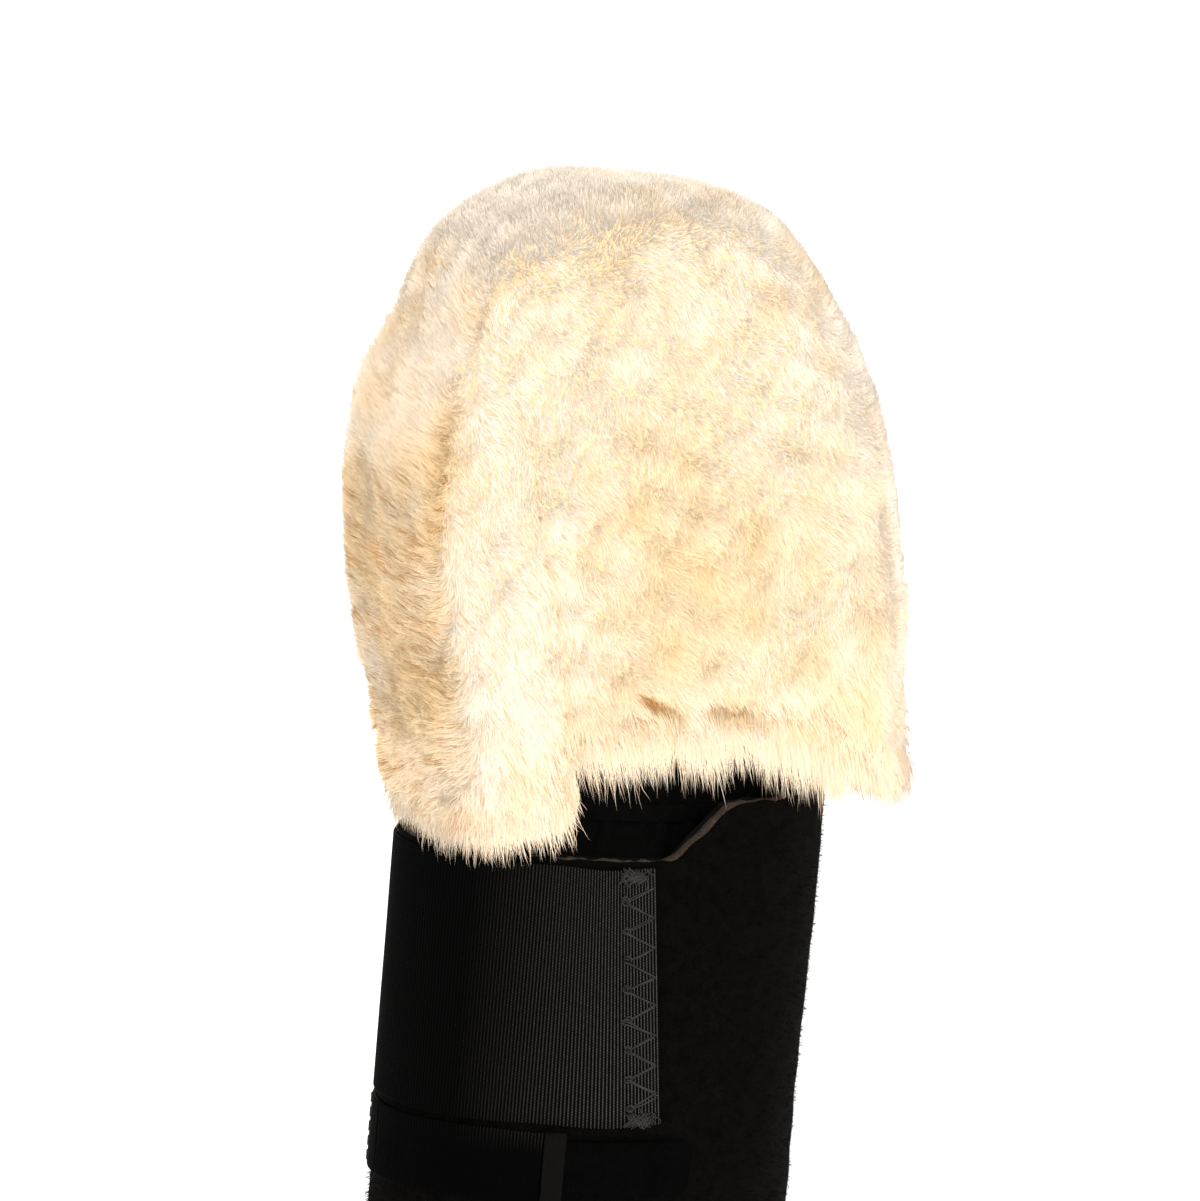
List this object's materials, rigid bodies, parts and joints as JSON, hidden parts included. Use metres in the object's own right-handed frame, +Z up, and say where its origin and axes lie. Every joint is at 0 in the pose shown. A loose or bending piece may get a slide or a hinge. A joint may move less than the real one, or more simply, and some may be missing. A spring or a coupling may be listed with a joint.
{
  "type": "wash mitt",
  "caption": "Sheepskin wash mitt with a rounded crown and side lobes, on a long foam-laminate forearm cuff with an elastic band and a hook-and-loop strap.",
  "frame": {"origin": "centre of the cuff's oval lower opening, at the height of the face that the mitt stands on", "axes": "+Z up the cuff towards the mitt, -Y the front, -X the side where the closure strap is sewn"},
  "size_m": [0.2, 0.0977, 0.4121],
  "materials": {
    "wool_pile": "dense sheared wool, ivory",
    "hide": "tanned suede side",
    "knit_lining": "fine black knit",
    "cuff_foam": "cut closed-cell foam, brown-black",
    "loop_fabric": "brushed loop, black",
    "elastic": "ribbed woven elastic, charcoal",
    "binding": "folded tape, black",
    "thread": "twisted polyester thread, black",
    "seam_thread": "waxed thread, cream",
    "hook": "moulded hook, black"
  },
  "bodies": {
    "cuff": {"cuff_front_foam": "cuff_foam", "cuff_back_foam": "cuff_foam", "cuff_front_face": "loop_fabric", "cuff_back_face": "loop_fabric", "cuff_lining": "knit_lining", "hem_binding": "binding", "left_side_stitching": "thread", "right_side_stitching": "thread", "upper_elastic_band": "elastic", "band_front_zigzag": "thread", "band_back_zigzag": "thread", "band_front_bar_tacks": "thread", "band_back_bar_tacks": "thread", "strap_anchor": "elastic", "strap_anchor_stitching": "thread", "wrist_gusset": "knit_lining", "wrist_elastic": "elastic"},
    "mitt": {"pile_front_panel": "wool_pile", "pile_back_panel": "wool_pile", "pile_side_band": "wool_pile", "hide_front": "hide", "hide_back": "hide", "hide_side_band": "hide", "mitt_lining_front": "knit_lining", "mitt_lining_back": "knit_lining", "mitt_lining_side_band": "knit_lining", "front_seam_stitching": "seam_thread", "back_seam_stitching": "seam_thread"},
    "strap": {"closure_strap": "elastic", "strap_end_binding": "binding", "hook_tab": "hook", "hook_field": "hook"}
  },
  "joints": [
    {"name": "wrist_bend", "type": "hinge", "parent": "cuff", "child": "mitt", "pos_m": [0, 0, 0.204], "axis": [1, 0, 0], "range_deg": [-11, 11], "stiffness_Nm_per_rad": 3},
    {"name": "strap_peel", "type": "hinge", "parent": "cuff", "child": "strap", "pos_m": [-0.0768, -0.001, 0.085], "axis": [0, 0, 1], "range_deg": [-100, 0]}
  ]
}
